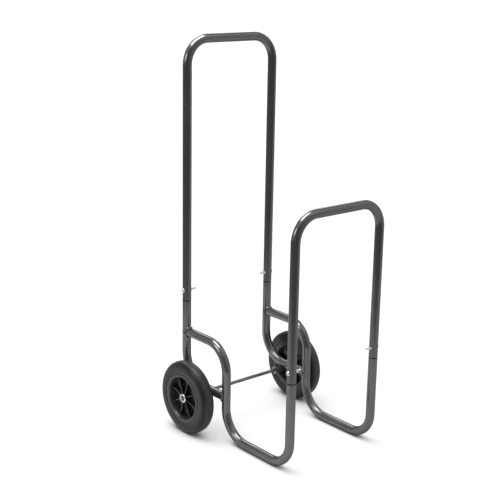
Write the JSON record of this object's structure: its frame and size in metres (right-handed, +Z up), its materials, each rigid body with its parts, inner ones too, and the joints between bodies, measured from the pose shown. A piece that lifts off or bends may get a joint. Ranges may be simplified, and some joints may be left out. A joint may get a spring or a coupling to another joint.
{
  "type": "fireside log cart",
  "caption": "Fireside log cart of bent steel tube: stepped side frames joined by a tall handle hoop and a low front hoop, rolling on solid-tyred wheels on a through axle.",
  "frame": {"origin": "centre of the footprint's bounding box, on the floor", "axes": "+Z up; +X across the cart along the axle; -Y towards the low front hoop, +Y towards the handle hoop"},
  "size_m": [0.4528, 0.4906, 1.1115],
  "materials": {
    "hoop_paint": "anthracite powder coat, satin with a fine metallic fleck",
    "frame_paint": "anthracite powder coat, satin with a fine metallic fleck",
    "weld_paint": "painted weld bead",
    "zinc": "bright zinc plating",
    "spring_steel": "black phosphated spring steel",
    "rim_plastic": "moulded black plastic",
    "tyre_rubber": "smooth dark grey rubber"
  },
  "bodies": {
    "cart": {"handle_hoop": "hoop_paint", "front_hoop": "hoop_paint", "left_rear_upright": "frame_paint", "right_rear_upright": "frame_paint", "left_step_tube": "frame_paint", "right_step_tube": "frame_paint", "left_axle_sleeve": "frame_paint", "right_axle_sleeve": "frame_paint", "left_welds": "weld_paint", "right_welds": "weld_paint", "left_rear_bolt": "zinc", "right_rear_bolt": "zinc", "left_front_bolt": "zinc", "right_front_bolt": "zinc", "left_rear_nut": "zinc", "right_rear_nut": "zinc", "left_front_nut": "zinc", "right_front_nut": "zinc", "axle": "frame_paint", "left_inner_washer": "zinc", "right_inner_washer": "zinc", "left_outer_washer": "zinc", "right_outer_washer": "zinc", "left_lock_ring": "spring_steel", "right_lock_ring": "spring_steel"},
    "left_wheel": {"left_rim": "rim_plastic", "left_tyre": "tyre_rubber"},
    "right_wheel": {"right_rim": "rim_plastic", "right_tyre": "tyre_rubber"}
  },
  "joints": [
    {"name": "left_wheel_spin", "type": "hinge", "parent": "cart", "child": "left_wheel", "pos_m": [-0.2055, 0.14025, 0.105], "axis": [1, 0, 0], "continuous": true},
    {"name": "right_wheel_spin", "type": "hinge", "parent": "cart", "child": "right_wheel", "pos_m": [0.2055, 0.14025, 0.105], "axis": [1, 0, 0], "continuous": true}
  ]
}
